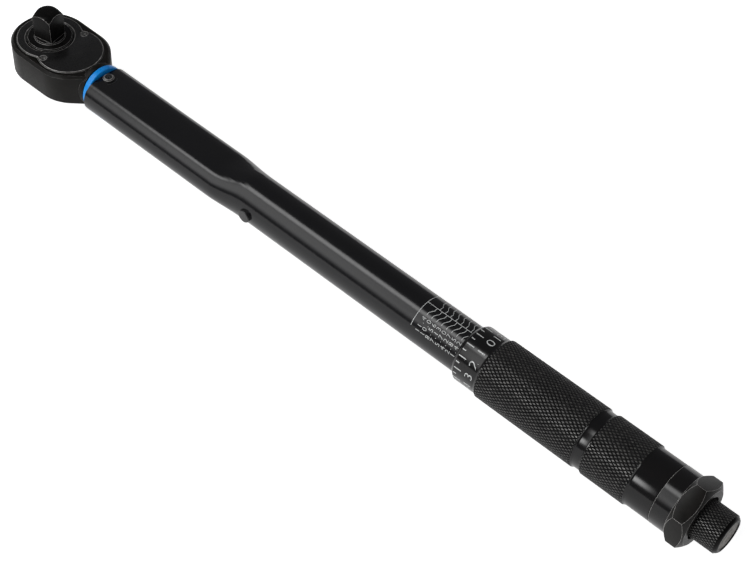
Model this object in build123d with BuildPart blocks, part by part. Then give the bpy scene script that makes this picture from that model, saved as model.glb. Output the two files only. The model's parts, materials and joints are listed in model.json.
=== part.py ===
from build123d import *
import os
from math import asin, cos, degrees, pi, radians, sin, sqrt, tan

# Click-type torque wrench with a reversible 3/8 inch ratchet head and a micrometer handle.
# Frame: X runs along the tube from the drive axis to the lock knob, Z runs along the square drive,
# and the origin is where the drive axis crosses the tube axis. Millimetres.

# ---------------------------------------------------------------- driving dimensions

# clearances
running_gap = 0.06      # radial, round piece turning or sliding in a bore
free_gap = 0.35         # between pieces that move past each other
fitted_gap = 0.15       # round the edge of a piece dropped in a recess

# square drive and ratchet wheel
square_size = 9.525
square_turn = 11.3      # degrees the square stands turned from the wrench axis
square_top = 22.3
square_corner_drop = 2.2
square_edge_drop = 0.35
collar_land = 0.215     # round the square's corners
collar_height = 0.6
boss_radius = 10.25
boss_top = 9.0
wheel_teeth = 24
wheel_tip_radius = 12.4
wheel_tooth_depth = 1.2
wheel_tip_angle = 3.0   # degrees of the circle one tooth's tip takes
wheel_root_angle = 10.0
journal_radius = 7.8
detent_ball_radius = 1.6
detent_height = 15.8    # above the wrench axis
detent_stand = 0.7      # how far the ball stands out of the square

# head
head_height = 16.4
nose_radius = 17.3
lobe_radius = 17.2
lobe_x = 14.5
rim_chamfer = 1.1
foot_chamfer = 1.6
neck_width = 13.6
neck_collar_radius = 10.2
neck_collar_start = 26.5
neck_collar_land = 2.2
neck_end = 32.6
wheel_pocket_radius = 13.0
pawl_pocket_radius = 10.6
pocket_floor = 2.8      # wall under the pocket
plate_radius = 14.9
plate_lobe_x = 13.7
plate_thickness = 2.1
plate_stand = 0.3       # plate top above the rim
plate_chamfer = 0.45
pad_height = 0.8        # raised pad on the underside
screw_x = 9.3
screw_y = 11.75
screw_radius = 1.25
screw_head_radius = 1.55
screw_head_height = 0.8
screw_length = 7.0

# pawl and reversing lever
pawl_pin_x = 16.8
pawl_pin_radius = 1.5
pawl_pin_seat = 2.0     # depth of its hole in the floor
pawl_rock = 6.0         # degrees either side of the middle
pawl_front_radius = 12.5
pawl_relief = 3.4       # half width of the gap between its two teeth
pawl_back = 1.6         # behind the pin's axis
lever_x = 21.6
lever_shaft_radius = 2.6
lever_shaft_reach = 6.0     # above the pocket's floor
lever_disc_radius = 6.2
lever_disc_thickness = 2.0
lever_turn = 25.0       # degrees either side of the middle
lever_tab_length = 12.5
lever_tab_width = 6.4
lever_clip_stand = 0.5
lever_clip_thickness = 0.8
pawl_plunger_radius = 0.8
pawl_plunger_length = 2.2
pawl_plunger_level = 3.6    # above the pocket's floor
pawl_spring_wire = 0.32

# pivot
pivot_x = 39.2
pivot_radius = 2.5
pivot_stand = 1.1       # pin ends above the tube's flats
click_angle = 2.4       # degrees the head gives when it clicks

# tube
tube_radius = 10.43
tube_wall = 1.7
flat_half_width = 12.2
flat_half_height = 8.0
flat_crown_radius = 60.0
tube_front = 36.1
swage_length = 19.0     # from the end of the tang
tube_rear = 314.0
ring_radius = 10.6
ring_front = 33.3

# tang of the head, inside the tube
tang_end = 112.0
tang_width = 12.0
tang_height = 10.4
tang_root_width = 17.0
tang_root_end = 48.0
tang_taper = 9.0
tang_corner = 3.4

# click mechanism
block_radius = 3.0
block_span = 7.0        # between the centres of the block's round ends
block_height = 8.0
seat_depth = 1.5
plunger_radius = 5.6
plunger_flange_stand = 3.0  # behind the guide bush
flange_thickness = 3.0
spigot_radius = 4.3
spigot_length = 9.0
bush_length = 12.4
side_pin_radius = 3.0
side_pin_stand = 1.3
spring_wire = 3.0
spring_coil_radius = 6.3
spring_turns = 11
seat_to_nut = 68.0      # from the spring seat's flange to the adjusting nut
seat_hub_radius = 6.4
seat_hub_length = 4.2
thrust_ball_radius = 4.0
thrust_ball_stand = 0.8     # ball centre behind the seat's hub

# adjusting gear
thread_pitch = 2.54     # ten threads per inch
scale_turns = 7
screw_shaft_radius = 6.4
screw_shoulder_step = 1.1
nut_length = 22.0
nut_inset = 3.0         # from the tube's rear end
nut_pin_radius = 1.5

# handle
sleeve_overlap = 66.4   # of the sleeve over the tube
thimble_length = 12.0
thimble_wall = 1.81
thimble_lip = 0.36      # metal at the thimble's front edge
thimble_bevel = 1.6
grip_shoulder = 0.9
grip_wall = 2.54
front_grip_length = 47.9
groove_width = 3.2
groove_wall = 1.91
rear_grip_length = 20.8
rear_sleeve_length = 10.7
rear_sleeve_wall = 1.94
end_nut_length = 15.3
end_nut_collar_stand = 0.07     # above the sleeve
end_nut_collar_length = 7.1
end_nut_flat_stand = 0.2        # above the collar
front_cone_length = 2.1
rear_cone_length = 2.0
rear_face_drop = 0.6            # below the collar
end_nut_spigot_length = 9.7
counterbore_land = 0.96         # round the knob
counterbore_depth = 5.5
end_web = 3.8

# lock knob
knob_radius = 8.24
knob_stand = 11.1       # behind the end nut
knob_rim = 0.8
knob_recess_radius = 5.9
knob_recess_depth = 0.4
knob_shank_radius = 4.0
knob_shank_reach = 10.2     # into the screw
knob_bore_depth = 9.0
clip_radius = 5.2
clip_thickness = 1.0
clip_groove = 0.6
lock_rod_radius = 2.5
lock_rod_entry = 6.0    # length of rod inside the knob
lock_cone_inset = 5.0   # from the nut's rear end
lock_cone_length = 6.0
lock_cone_drop = 0.95   # how much narrower the cone's tip is
lock_travel = 0.6       # of the rod in half a turn of the knob
lock_slot_width = 1.2
lock_slot_length = 16.0

# ---------------------------------------------------------------- worked-out places

head_top = head_height / 2
head_bottom = -head_height / 2
plate_top = head_top + plate_stand
plate_seat = plate_top - plate_thickness
floor_top = head_bottom + pocket_floor
wheel_bottom = floor_top + free_gap
wheel_top = plate_seat - free_gap
wheel_root_radius = wheel_tip_radius - wheel_tooth_depth
pad_bottom = head_bottom - pad_height
lever_top = pad_bottom - free_gap
lever_bottom = lever_top - lever_disc_thickness
lever_clip_bottom = floor_top + free_gap
lever_clip_top = lever_clip_bottom + lever_clip_thickness
pawl_bottom = lever_clip_top + free_gap

tube_bore = tube_radius - tube_wall
swage_start = tang_end
swage_end = swage_start + swage_length
block_seat_radius = block_radius + free_gap
block_head_x = tang_end + block_seat_radius - seat_depth
block_tail_x = block_head_x + block_span
plunger_front = block_tail_x + block_seat_radius - seat_depth
bush_start = swage_end + 0.1
side_pin_x = bush_start + side_pin_radius + 0.5
plunger_flange_x = bush_start + bush_length + plunger_flange_stand
spring_front = plunger_flange_x + flange_thickness
flange_radius = tube_bore - free_gap

nut_rear = tube_rear - nut_inset
nut_front = nut_rear - nut_length
nut_pin_x = (nut_front + nut_rear) / 2
seat_flange_x = nut_front - seat_to_nut
seat_hub_rear = seat_flange_x + flange_thickness + seat_hub_length
thrust_ball_x = seat_hub_rear + thrust_ball_stand
screw_front = thrust_ball_x + thrust_ball_stand
screw_bore = screw_shaft_radius + running_gap
screw_shoulder_radius = screw_shaft_radius + screw_shoulder_step

sleeve_bore = tube_radius + running_gap
thimble_radius = sleeve_bore + thimble_wall
grip_radius = sleeve_bore + grip_wall
groove_radius = sleeve_bore + groove_wall
sleeve_radius = sleeve_bore + rear_sleeve_wall
thimble_front = tube_rear - sleeve_overlap
grip_start = thimble_front + thimble_length
groove_start = grip_start + front_grip_length
groove_end = groove_start + groove_width
grip_end = groove_end + rear_grip_length
sleeve_end = grip_end + rear_sleeve_length
end_nut_rear = sleeve_end + end_nut_length
end_nut_spigot_front = sleeve_end - end_nut_spigot_length
end_nut_collar_radius = sleeve_radius + end_nut_collar_stand
end_nut_flats = 2 * (end_nut_collar_radius + end_nut_flat_stand)
front_cone_start = sleeve_end + end_nut_collar_length
front_cone_end = front_cone_start + front_cone_length
rear_cone_start = end_nut_rear - rear_cone_length
rear_face_radius = end_nut_collar_radius - rear_face_drop
counterbore_radius = knob_radius + counterbore_land
knob_end = end_nut_rear + knob_stand
end_nut_corner = end_nut_flats / 2 / cos(pi / 6)
counterbore_floor = end_nut_rear - counterbore_depth
screw_rear = counterbore_floor - end_web
clip_rear = screw_rear - free_gap
clip_front = clip_rear - clip_thickness
clip_recess_radius = clip_radius + free_gap
knob_shank_front = screw_rear - knob_shank_reach
shank_bore = knob_shank_radius + running_gap
rod_bore = lock_rod_radius + running_gap
lock_cone_front = nut_rear - lock_cone_inset
lock_cone_rear = lock_cone_front + lock_cone_length
rod_setback = lock_travel + 0.2

# travel of the moving pieces
adjust_travel = scale_turns * thread_pitch
click_arm = block_head_x - pivot_x
block_tilt = degrees(asin(click_arm * sin(radians(click_angle)) / block_span))
plunger_give = block_span * (1 - cos(radians(block_tilt)))
plunger_give += click_arm * (1 - cos(radians(click_angle)))


# ---------------------------------------------------------------- helpers

def turned_on_x(*profile, mode=Mode.ADD):
    """Turn a closed profile of (x, radius) points about the tube axis."""
    with BuildSketch(Plane.XZ) as half:
        Polygon(*profile)
    revolve(half.sketch, axis=Axis.X, mode=mode)


def turned_on_z(*profile, at=(0, 0), mode=Mode.ADD):
    """Turn a closed profile of (radius, z) points about an upright axis through at."""
    foot = (at[0], at[1], 0)
    with BuildSketch(Plane(origin=foot, x_dir=(1, 0, 0), z_dir=(0, -1, 0))) as half:
        Polygon(*profile)
    revolve(half.sketch, axis=Axis(foot, (0, 0, 1)), mode=mode)


def rod_on_x(x_from, x_to, radius, mode=Mode.ADD):
    """A plain round rod or hole along the tube axis."""
    with BuildSketch(Plane.YZ.offset(x_from)) as end:
        Circle(radius)
    extrude(end.sketch, amount=x_to - x_from, mode=mode)


def ball_on_x(middle, radius, mode=Mode.ADD):
    """A ball centred on the tube axis, or a round cup for one."""
    with BuildSketch(Plane.XZ) as half:
        with BuildLine():
            ThreePointArc((middle - radius, 0), (middle, radius), (middle + radius, 0))
            Line((middle + radius, 0), (middle - radius, 0))
        make_face()
    revolve(half.sketch, axis=Axis.X, mode=mode)


def bar_on_x(x_from, x_to, width, height, corner, mode=Mode.ADD):
    """A bar of rounded rectangular section along the tube axis."""
    with BuildSketch(Plane.YZ.offset(x_from)) as end:
        RectangleRounded(width, height, corner)
    extrude(end.sketch, amount=x_to - x_from, mode=mode)


def oval_section(x, half_width, half_height, crown_radius):
    """The pressed tube's outline at x: crowned flats and round sides, tangent all round."""
    side = 2 * crown_radius * half_height - half_height**2 - half_width**2
    side = side / (2 * (crown_radius - half_width))
    angle = asin((half_width - side) / (crown_radius - side))
    join_y = crown_radius * sin(angle)
    join_z = half_height - crown_radius + crown_radius * cos(angle)
    with BuildSketch(Plane.YZ.offset(x)) as section:
        with BuildLine():
            ThreePointArc((join_y, join_z), (0, half_height), (-join_y, join_z))
            ThreePointArc((-join_y, join_z), (-half_width, 0), (-join_y, -join_z))
            ThreePointArc((-join_y, -join_z), (0, -half_height), (join_y, -join_z))
            ThreePointArc((join_y, -join_z), (half_width, 0), (join_y, join_z))
        make_face()
    return section.sketch


def round_section(x, radius):
    """A circle at x, cut in four so that it lofts evenly from an oval section."""
    corner = radius * sin(pi / 4)
    with BuildSketch(Plane.YZ.offset(x)) as section:
        with BuildLine():
            ThreePointArc((corner, corner), (0, radius), (-corner, corner))
            ThreePointArc((-corner, corner), (-radius, 0), (-corner, -corner))
            ThreePointArc((-corner, -corner), (0, -radius), (corner, -corner))
            ThreePointArc((corner, -corner), (radius, 0), (corner, corner))
        make_face()
    return section.sketch


def pressed_tube(inset, mode=Mode.ADD):
    """The tube's outer form, or its inside where inset is the wall: flats, swage, round."""
    width = flat_half_width - inset
    height = flat_half_height - inset
    crown = flat_crown_radius - inset
    radius = tube_radius - inset
    swage = swage_end - swage_start
    sections = [oval_section(swage_start, width, height, crown)]
    for step in (0.25, 0.5, 0.75):
        blend = step * step * (3 - 2 * step)
        bend = (1 - blend) / crown + blend / (radius * 1.08)
        sections.append(
            oval_section(
                swage_start + step * swage,
                width + blend * (radius - width),
                height + blend * (radius - height),
                1 / bend,
            )
        )
    sections.append(round_section(swage_end, radius))
    front = oval_section(tube_front, width, height, crown)
    extrude(front, amount=swage_start - tube_front, mode=mode)
    loft(sections, mode=mode)
    rod_on_x(swage_end, tube_rear, radius, mode=mode)


def coil_spring(foot, length, turns, coil_radius, wire):
    """A compression spring standing on the plane foot."""
    lead = (length - wire) / turns
    with BuildLine() as coil:
        Helix(
            pitch=lead,
            height=lead * turns,
            radius=coil_radius,
            center=foot.origin + foot.z_dir * (wire / 2),
            direction=foot.z_dir,
        )
    with BuildSketch(Plane(origin=coil.line @ 0, z_dir=coil.line % 0)) as section:
        Circle(wire / 2)
    sweep(section.sketch, path=coil.line, is_frenet=True)


def toothed_disc(tip_radius, root_radius, tip_angle, root_angle):
    """The ratchet wheel's outline, each tooth a straight-sided wedge."""
    points = []
    for tooth in range(wheel_teeth):
        middle = tooth * 360 / wheel_teeth
        for radius, angle in (
            (root_radius, middle - root_angle / 2),
            (tip_radius, middle - tip_angle / 2),
            (tip_radius, middle + tip_angle / 2),
            (root_radius, middle + root_angle / 2),
        ):
            points.append((radius * cos(radians(angle)), radius * sin(radians(angle))))
    Polygon(*points)


# ---------------------------------------------------------------- head

with BuildSketch() as head_rounds:
    Circle(nose_radius)
    with Locations((lobe_x, 0)):
        Circle(lobe_radius)
    with Locations((neck_end - 1, 0)):
        Rectangle(2, neck_width)

with BuildPart() as head_body:
    with BuildSketch(Plane.XY.offset(head_bottom)):
        make_hull(head_rounds.edges())
    extrude(amount=head_height)
    chamfer(faces().sort_by(Axis.Z)[-1].edges(), rim_chamfer)
    chamfer(faces().sort_by(Axis.Z)[0].edges(), foot_chamfer)
    turned_on_x(
        (neck_collar_start, 0),
        (neck_collar_start, head_top - 0.4),
        (neck_end - neck_collar_land, neck_collar_radius),
        (neck_end, neck_collar_radius),
        (neck_end, 0),
    )
    with BuildSketch(Plane.XY.offset(head_bottom)):
        Circle(plate_radius - 0.5)
        with Locations((plate_lobe_x, 0)):
            Circle(plate_radius - 0.5)
    extrude(amount=-pad_height)
    # tang, one forging with the head
    bar_on_x(neck_end, tang_root_end, tang_root_width, tang_height, tang_corner)
    with BuildSketch(Plane.YZ.offset(tang_root_end)):
        RectangleRounded(tang_root_width, tang_height, tang_corner)
    with BuildSketch(Plane.YZ.offset(tang_root_end + tang_taper)):
        RectangleRounded(tang_width, tang_height, tang_corner)
    loft()
    bar_on_x(tang_root_end + tang_taper, tang_end, tang_width, tang_height, tang_corner)
    # recess for the cover plate, and below it the pockets for the wheel and the pawl
    with BuildSketch(Plane.XY.offset(plate_seat)):
        Circle(plate_radius + fitted_gap)
        with Locations((plate_lobe_x, 0)):
            Circle(plate_radius + fitted_gap)
    extrude(amount=head_height, mode=Mode.SUBTRACT)
    with BuildSketch(Plane.XY.offset(floor_top)):
        Circle(wheel_pocket_radius)
        with Locations((lobe_x, 0)):
            Circle(pawl_pocket_radius)
    extrude(amount=plate_seat - floor_top, mode=Mode.SUBTRACT)
    # holes for the wheel's journal, the lever, the pawl's pin and the cover screws
    with Locations((0, 0, 0)):
        Hole(journal_radius + running_gap)
    with Locations((lever_x, 0, 0)):
        Hole(lever_shaft_radius + running_gap)
    with Locations((pawl_pin_x, 0, floor_top)):
        Hole(pawl_pin_radius, depth=pawl_pin_seat)
    with Locations((screw_x, screw_y, plate_seat), (screw_x, -screw_y, plate_seat)):
        Hole(screw_radius, depth=screw_length)
    # pivot hole, and the round seat for the tilt block
    with Locations((pivot_x, 0, 0)):
        Hole(pivot_radius + running_gap)
    with Locations((block_head_x, 0, 0)):
        Cylinder(block_seat_radius, head_height, mode=Mode.SUBTRACT)
head_body.part.label = "head_body"

with BuildPart() as cover_plate:
    with BuildSketch(Plane.XY.offset(plate_seat)):
        Circle(plate_radius)
        with Locations((plate_lobe_x, 0)):
            Circle(plate_radius)
        Circle(boss_radius + free_gap, mode=Mode.SUBTRACT)
    extrude(amount=plate_thickness)
    chamfer(faces().sort_by(Axis.Z)[-1].edges(), plate_chamfer)
    with Locations((screw_x, screw_y, plate_top), (screw_x, -screw_y, plate_top)):
        CounterBoreHole(
            screw_radius + fitted_gap, screw_head_radius + fitted_gap, screw_head_height + 0.2
        )
cover_plate.part.label = "cover_plate"

with BuildPart() as cover_screws:
    head_seat = plate_top - screw_head_height - 0.2
    for side in (1, -1):
        turned_on_z(
            (0, plate_seat - screw_length + 0.5),
            (screw_radius - 0.3, plate_seat - screw_length + 0.5),
            (screw_radius, plate_seat - screw_length + 0.8),
            (screw_radius, head_seat),
            (screw_head_radius, head_seat),
            (screw_head_radius, head_seat + screw_head_height - 0.2),
            (screw_head_radius - 0.2, head_seat + screw_head_height),
            (0, head_seat + screw_head_height),
            at=(screw_x, side * screw_y),
        )
    with BuildSketch(Plane.XY.offset(head_seat + screw_head_height)):
        with Locations((screw_x, screw_y), (screw_x, -screw_y)):
            RegularPolygon(0.8, 6)
    extrude(amount=-0.6, mode=Mode.SUBTRACT)
cover_screws.part.label = "cover_screws"

# ---------------------------------------------------------------- ratchet wheel and square

square_half = square_size / 2
square_corner = square_size / sqrt(2)
collar_radius = square_corner + collar_land
square_frame = Plane.XY.rotated((0, 0, square_turn))
ball_reach = square_half + detent_stand - detent_ball_radius
ball_hole_bottom = 0.8
ball_frame = Plane(
    origin=(0, 0, detent_height), x_dir=(0, 0, 1), z_dir=square_frame.x_dir * -1
)

with BuildPart() as drive_gear:
    with BuildSketch(Plane.XY.offset(wheel_bottom)):
        toothed_disc(wheel_tip_radius, wheel_root_radius, wheel_tip_angle, wheel_root_angle)
    extrude(amount=wheel_top - wheel_bottom)
    turned_on_z(
        (0, pad_bottom + 0.2),
        (journal_radius - 0.5, pad_bottom + 0.2),
        (journal_radius, pad_bottom + 0.7),
        (journal_radius, wheel_bottom + 1),
        (boss_radius, wheel_bottom + 1),
        (boss_radius, boss_top - 0.5),
        (boss_radius - 0.5, boss_top),
        (collar_radius, boss_top),
        (collar_radius, boss_top + collar_height - 0.4),
        (collar_radius - 0.4, boss_top + collar_height),
        (0, boss_top + collar_height),
    )
    with BuildSketch(square_frame.offset(boss_top)):
        Rectangle(square_size, square_size)
    extrude(amount=square_top - boss_top)
    # the end is turned to a blunt cone, so each flat ends in an arc
    top_disc = square_half - square_edge_drop * 3
    turned_on_z(
        (top_disc, square_top),
        (square_half - 0.05, square_top - square_edge_drop),
        (square_corner, square_top - square_corner_drop),
        (square_corner + 2, square_top - square_corner_drop),
        (square_corner + 2, square_top + 1),
        (top_disc, square_top + 1),
        mode=Mode.SUBTRACT,
    )
    with BuildSketch(ball_frame.offset(ball_hole_bottom)):
        Circle(detent_ball_radius + running_gap)
    extrude(amount=square_size, mode=Mode.SUBTRACT)
drive_gear.part.label = "drive_gear"

with BuildPart() as detent_ball:
    with Locations(ball_frame.offset(ball_reach).location):
        Sphere(detent_ball_radius)
detent_ball.part.label = "detent_ball"

with BuildPart() as detent_spring:
    coil_spring(
        ball_frame.offset(ball_hole_bottom),
        length=ball_reach - detent_ball_radius - ball_hole_bottom - 0.05,
        turns=2.5,
        coil_radius=detent_ball_radius - 0.4,
        wire=0.3,
    )
detent_spring.part.label = "detent_spring"

# ---------------------------------------------------------------- pawl and reversing lever

pawl_axis = Axis((pawl_pin_x, 0, 0), (0, 0, 1))
gap_angle = degrees(free_gap / wheel_tip_radius)

with BuildPart() as tooth_space:
    with BuildSketch(Plane.XY.offset(head_bottom)):
        toothed_disc(
            wheel_tip_radius + free_gap,
            wheel_root_radius + free_gap,
            wheel_tip_angle + 2 * gap_angle,
            wheel_root_angle + 2 * gap_angle,
        )
    extrude(amount=head_height)

with BuildPart() as pawl_blank:
    with BuildSketch(Plane.XY.offset(pawl_bottom)):
        with Locations((lobe_x, 0)):
            Circle(pawl_pocket_radius - 1.0)
        Circle(pawl_front_radius, mode=Mode.SUBTRACT)
        with Locations((0, 0)):
            Rectangle(2 * (pawl_front_radius + 1.1), 2 * pawl_relief, mode=Mode.SUBTRACT)
        with Locations((pawl_pin_x + pawl_back, 0)):
            Rectangle(
                20, 40, align=(Align.MIN, Align.CENTER), mode=Mode.SUBTRACT
            )
        with Locations((0, 0)):
            Rectangle(2 * 9.0, 40, mode=Mode.SUBTRACT)
    extrude(amount=plate_seat - free_gap - pawl_bottom)
    with Locations((pawl_pin_x, 0, 0)):
        Hole(pawl_pin_radius + running_gap)

with BuildPart() as pawl:
    add(pawl_blank.part.rotate(pawl_axis, pawl_rock))
    add(tooth_space.part, mode=Mode.SUBTRACT)
    add(tooth_space.part.rotate(pawl_axis, 2 * pawl_rock), mode=Mode.SUBTRACT)
pawl.part.label = "pawl"

with BuildPart() as pawl_pin:
    turned_on_z(
        (0, floor_top - pawl_pin_seat),
        (pawl_pin_radius, floor_top - pawl_pin_seat),
        (pawl_pin_radius, plate_seat - 0.5),
        (pawl_pin_radius - 0.3, plate_seat - 0.2),
        (0, plate_seat - 0.2),
        at=(pawl_pin_x, 0),
    )
pawl_pin.part.label = "pawl_pin"

lever_frame = Plane.XY.rotated((0, 0, -lever_turn))
plunger_frame = Plane(
    origin=(lever_x, 0, floor_top + pawl_plunger_level),
    x_dir=(0, 0, 1),
    z_dir=lever_frame.x_dir * -1,
)
spring_hole_bottom = 0.9 - lever_shaft_radius
plunger_rear = (
    (lever_x - pawl_pin_x - pawl_back) / cos(radians(lever_turn))
    - 0.8 * free_gap
    - pawl_plunger_radius * tan(radians(lever_turn))
    - pawl_plunger_length
)
lever_groove = (
    (lever_shaft_radius - 0.5, lever_clip_bottom),
    (lever_shaft_radius + lever_clip_stand, lever_clip_bottom),
    (lever_shaft_radius + lever_clip_stand, lever_clip_top),
    (lever_shaft_radius - 0.5, lever_clip_top),
)

with BuildPart() as reverse_lever:
    turned_on_z(
        (0, lever_bottom),
        (lever_disc_radius - 0.5, lever_bottom),
        (lever_disc_radius, lever_bottom + 0.5),
        (lever_disc_radius, lever_top),
        (lever_shaft_radius, lever_top),
        (lever_shaft_radius, floor_top + lever_shaft_reach),
        (0, floor_top + lever_shaft_reach),
        at=(lever_x, 0),
    )
    with BuildSketch(
        Plane((lever_x, 0, lever_bottom), x_dir=lever_frame.x_dir, z_dir=(0, 0, 1))
    ):
        with Locations((-lever_tab_length / 2, 0)):
            SlotOverall(lever_tab_length, lever_tab_width)
    extrude(amount=lever_disc_thickness)
    with BuildSketch(plunger_frame.offset(spring_hole_bottom)):
        Circle(pawl_plunger_radius + running_gap)
    extrude(amount=lever_shaft_radius * 2, mode=Mode.SUBTRACT)
    turned_on_z(*lever_groove, at=(lever_x, 0), mode=Mode.SUBTRACT)
reverse_lever.part.label = "reverse_lever"

with BuildPart() as lever_clip:
    turned_on_z(*lever_groove, at=(lever_x, 0))
lever_clip.part.label = "lever_clip"

with BuildPart() as pawl_plunger:
    with BuildSketch(plunger_frame.offset(plunger_rear)):
        Circle(pawl_plunger_radius)
    extrude(amount=pawl_plunger_length)
    fillet(
        faces().sort_by(Axis(plunger_frame.origin, plunger_frame.z_dir))[-1].edges(),
        pawl_plunger_radius * 0.7,
    )
pawl_plunger.part.label = "pawl_plunger"

with BuildPart() as pawl_spring:
    coil_spring(
        plunger_frame.offset(spring_hole_bottom),
        length=plunger_rear - spring_hole_bottom,
        turns=4,
        coil_radius=pawl_plunger_radius - pawl_spring_wire / 2,
        wire=pawl_spring_wire,
    )
pawl_spring.part.label = "pawl_spring"

# ---------------------------------------------------------------- tube and its fixed pieces

with BuildPart() as tube:
    pressed_tube(0)
    pressed_tube(tube_wall, mode=Mode.SUBTRACT)
    with Locations((pivot_x, 0, 0)):
        Hole(pivot_radius)
    with BuildSketch(Plane.XZ):
        with Locations((side_pin_x, 0)):
            Circle(side_pin_radius)
    extrude(amount=2 * tube_radius, mode=Mode.SUBTRACT)
    with Locations((nut_pin_x, 0, 0)):
        Hole(nut_pin_radius)
tube.part.label = "tube"

with BuildPart() as neck_ring:
    rod_on_x(ring_front, tube_front, ring_radius)
    fillet(edges().filter_by(GeomType.CIRCLE), 0.5)
    bar_on_x(
        ring_front,
        tube_front,
        tang_root_width + 4 * free_gap,
        tang_height + 4 * free_gap,
        tang_corner,
        mode=Mode.SUBTRACT,
    )
neck_ring.part.label = "neck_ring"

with BuildPart() as pivot_pin:
    pin_end = flat_half_height + pivot_stand
    turned_on_z(
        (0, -pin_end),
        (pivot_radius - 0.6, -pin_end),
        (pivot_radius, -pin_end + 0.4),
        (pivot_radius, pin_end - 0.4),
        (pivot_radius - 0.6, pin_end),
        (0, pin_end),
        at=(pivot_x, 0),
    )
pivot_pin.part.label = "pivot_pin"

with BuildPart() as guide_bush:
    turned_on_x(
        (bush_start, plunger_radius + running_gap),
        (bush_start, tube_bore),
        (bush_start + bush_length - 0.5, tube_bore),
        (bush_start + bush_length, tube_bore - 0.5),
        (bush_start + bush_length, plunger_radius + running_gap),
    )
    with BuildSketch(Plane.XZ):
        with Locations((side_pin_x, 0)):
            Circle(side_pin_radius)
    extrude(amount=2 * tube_radius, mode=Mode.SUBTRACT)
guide_bush.part.label = "guide_bush"

with BuildPart() as side_pin:
    with BuildSketch(Plane.XZ.offset(plunger_radius + free_gap)):
        with Locations((side_pin_x, 0)):
            Circle(side_pin_radius)
    extrude(amount=tube_radius + side_pin_stand - plunger_radius - free_gap)
    fillet(faces().sort_by(Axis.Y)[0].edges(), 0.4)
side_pin.part.label = "side_pin"

with BuildPart() as adjusting_nut:
    turned_on_x(
        (nut_front, screw_bore),
        (nut_front, tube_bore - 0.6),
        (nut_front + 0.6, tube_bore),
        (nut_rear, tube_bore),
        (nut_rear, screw_bore),
    )
    with Locations((nut_pin_x, 0, 0)):
        Hole(nut_pin_radius)
adjusting_nut.part.label = "adjusting_nut"

nut_pin_inner = screw_bore + 0.5
nut_pin_outer = tube_radius - 0.15
with BuildPart() as nut_pins:
    for side in (1, -1):
        with BuildSketch(Plane.XY.offset(side * nut_pin_inner)):
            with Locations((nut_pin_x, 0)):
                Circle(nut_pin_radius)
        extrude(amount=side * (nut_pin_outer - nut_pin_inner))
nut_pins.part.label = "nut_pins"

# ---------------------------------------------------------------- click mechanism

with BuildPart() as tilt_block:
    with BuildSketch(Plane.XY.offset(-block_height / 2)):
        with Locations(((block_head_x + block_tail_x) / 2, 0)):
            SlotCenterToCenter(block_span, 2 * block_radius)
    extrude(amount=block_height)
    chamfer(edges().filter_by(Axis.X), 0.5)
tilt_block.part.label = "tilt_block"

with BuildPart() as plunger:
    turned_on_x(
        (plunger_front, 0),
        (plunger_front, plunger_radius - 0.5),
        (plunger_front + 0.5, plunger_radius),
        (plunger_flange_x, plunger_radius),
        (plunger_flange_x, flange_radius),
        (spring_front, flange_radius),
        (spring_front, spigot_radius),
        (spring_front + spigot_length - 0.8, spigot_radius),
        (spring_front + spigot_length, spigot_radius - 0.8),
        (spring_front + spigot_length, 0),
    )
    with Locations((block_tail_x, 0, 0)):
        Cylinder(block_seat_radius, 2 * flange_radius, mode=Mode.SUBTRACT)
plunger.part.label = "plunger"

with BuildPart() as main_spring:
    coil_spring(
        Plane.YZ.offset(spring_front),
        length=seat_flange_x - spring_front,
        turns=spring_turns,
        coil_radius=spring_coil_radius,
        wire=spring_wire,
    )
main_spring.part.label = "main_spring"

with BuildPart() as spring_seat:
    turned_on_x(
        (seat_flange_x - spigot_length, 0),
        (seat_flange_x - spigot_length, spigot_radius - 0.8),
        (seat_flange_x - spigot_length + 0.8, spigot_radius),
        (seat_flange_x, spigot_radius),
        (seat_flange_x, flange_radius),
        (seat_flange_x + flange_thickness, flange_radius),
        (seat_flange_x + flange_thickness, seat_hub_radius),
        (seat_hub_rear, seat_hub_radius),
        (seat_hub_rear, 0),
    )
    ball_on_x(thrust_ball_x, thrust_ball_radius, mode=Mode.SUBTRACT)
spring_seat.part.label = "spring_seat"

with BuildPart() as thrust_ball:
    ball_on_x(thrust_ball_x, thrust_ball_radius)
thrust_ball.part.label = "thrust_ball"

# ---------------------------------------------------------------- handle

with BuildPart() as adjusting_screw:
    rod_on_x(screw_front, end_nut_spigot_front, screw_shaft_radius)
    chamfer(faces().sort_by(Axis.X)[0].edges(), 0.6)
    rod_on_x(end_nut_spigot_front, screw_rear, screw_shoulder_radius)
    # recess for the knob's clip, then the bores for its shank and for the lock rod
    rod_on_x(clip_front - free_gap, screw_rear, clip_recess_radius, mode=Mode.SUBTRACT)
    rod_on_x(knob_shank_front - 1.5, screw_rear, shank_bore, mode=Mode.SUBTRACT)
    rod_on_x(lock_cone_rear, screw_rear, rod_bore, mode=Mode.SUBTRACT)
    turned_on_x(
        (lock_cone_front, 0),
        (lock_cone_front, rod_bore - lock_cone_drop),
        (lock_cone_rear, rod_bore),
        (lock_cone_rear, 0),
        mode=Mode.SUBTRACT,
    )
    # cross slots, so that the cone can spread the screw inside its nut
    with Locations((lock_cone_front + lock_cone_length / 2, 0, 0)):
        Box(lock_slot_length, lock_slot_width, 4 * screw_shaft_radius, mode=Mode.SUBTRACT)
        Box(lock_slot_length, 4 * screw_shaft_radius, lock_slot_width, mode=Mode.SUBTRACT)
    ball_on_x(thrust_ball_x, thrust_ball_radius + running_gap, mode=Mode.SUBTRACT)
adjusting_screw.part.label = "adjusting_screw"

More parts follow.
